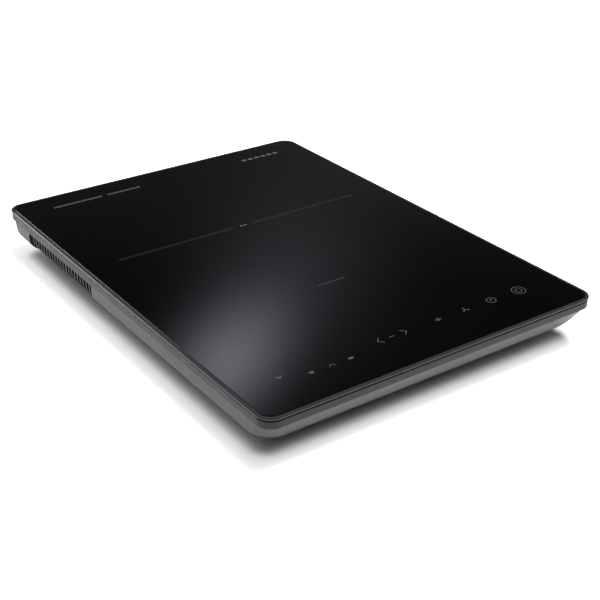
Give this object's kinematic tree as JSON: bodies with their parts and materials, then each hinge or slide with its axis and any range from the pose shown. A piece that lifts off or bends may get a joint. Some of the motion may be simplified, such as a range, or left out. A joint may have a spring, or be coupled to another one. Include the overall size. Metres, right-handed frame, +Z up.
{
  "type": "portable induction cooktop",
  "caption": "Flat portable induction cooktop with a black glass top, touch controls, a slim frame and a dished housing with side vents and a fan.",
  "frame": {"origin": "under the middle of the cooktop, on the surface that the feet stand on", "axes": "+X to the user's right, +Y to the rear, +Z up"},
  "size_m": [0.28, 0.386, 0.038],
  "materials": {
    "cooktop_glass": "polished black glass ceramic",
    "frame_plastic": "satin grey moulding",
    "housing_plastic": "satin grey moulding",
    "sealant": "cured silicone bead",
    "foot_rubber": "matt moulded rubber",
    "screw_steel": "zinc plated",
    "gland_plastic": "moulded nylon",
    "carrier_plastic": "glass-filled moulding",
    "coil_copper": "enamelled strands",
    "ferrite": "sintered",
    "mica": "pearly sheet",
    "fibre_wool": "soft white fibre felt",
    "spring_steel": "bright wire",
    "probe_rubber": "red silicone sleeve",
    "probe_glass": "glass bead sensor",
    "fan_plastic": "satin black moulding",
    "bearing_bronze": "sintered bronze",
    "core_iron": "stacked sheet iron",
    "board_laminate": "green solder mask",
    "magnet_ferrite": "bonded magnet",
    "shaft_steel": "ground",
    "heatsink_metal": "extruded, plain",
    "device_epoxy": "moulded epoxy",
    "film_case": "potted case",
    "bus_case": "potted case",
    "bobbin_tape": "taped bobbin on a ferrite core",
    "can_sleeve": "shrink sleeve",
    "stud_brass": "turned",
    "lug_tin": "tinned copper",
    "terminal_plastic": "moulded nylon",
    "suppressor_case": "potted case",
    "fuse_glass": "clear tube in clips",
    "touch_foam": "conductive foam",
    "light_resin": "tinted resin",
    "display_resin": "black faced display",
    "socket_nylon": "moulded nylon",
    "lead_braid": "silicone sleeve",
    "lead_black": "insulation",
    "lead_grey": "flat grey ribbon"
  },
  "bodies": {
    "cooktop": {"glass_plate": "cooktop_glass", "glass_adhesive": "sealant", "top_frame": "frame_plastic", "lower_housing": "housing_plastic", "rubber_feet": "foot_rubber", "housing_screws": "screw_steel", "cord_gland": "gland_plastic", "gland_nut": "gland_plastic", "coil_carrier": "carrier_plastic", "coil_winding": "coil_copper", "ferrite_bars": "ferrite", "mica_sheet": "mica", "fibre_blanket": "fibre_wool", "coil_springs": "spring_steel", "coil_screws": "screw_steel", "probe_holder": "probe_rubber", "temperature_probe": "probe_glass", "fan_frame": "fan_plastic", "fan_bearing": "bearing_bronze", "fan_stator": "core_iron", "fan_board": "board_laminate", "fan_screws": "screw_steel", "air_hood": "fan_plastic", "power_board": "board_laminate", "filter_board": "board_laminate", "board_screws": "screw_steel", "heatsink": "heatsink_metal", "igbt": "device_epoxy", "bridge_rectifier": "device_epoxy", "device_screws": "screw_steel", "resonant_capacitor": "film_case", "bus_capacitor": "bus_case", "standby_transformer": "bobbin_tape", "storage_capacitors": "can_sleeve", "lead_studs": "stud_brass", "lead_lugs": "lug_tin", "mains_terminal": "terminal_plastic", "interference_capacitor": "suppressor_case", "choke_core": "ferrite", "choke_winding": "coil_copper", "fuse": "fuse_glass", "control_board": "board_laminate", "control_tray": "carrier_plastic", "control_screws": "screw_steel", "touch_pads": "touch_foam", "indicator_lights": "light_resin", "number_display": "display_resin", "control_chip": "device_epoxy", "buzzer": "device_epoxy", "board_connectors": "socket_nylon", "coil_leads": "lead_braid", "mains_lead": "lead_black", "fan_lead": "lead_black", "probe_lead": "lead_black", "control_cable": "lead_grey"},
    "fan_wheel": {"fan_rotor": "fan_plastic", "fan_magnet": "magnet_ferrite", "fan_shaft": "shaft_steel"}
  },
  "joints": [
    {"name": "fan_spin", "type": "hinge", "parent": "cooktop", "child": "fan_wheel", "pos_m": [0.074, -0.088, 0.0192], "axis": [0, 0, 1], "continuous": true}
  ]
}
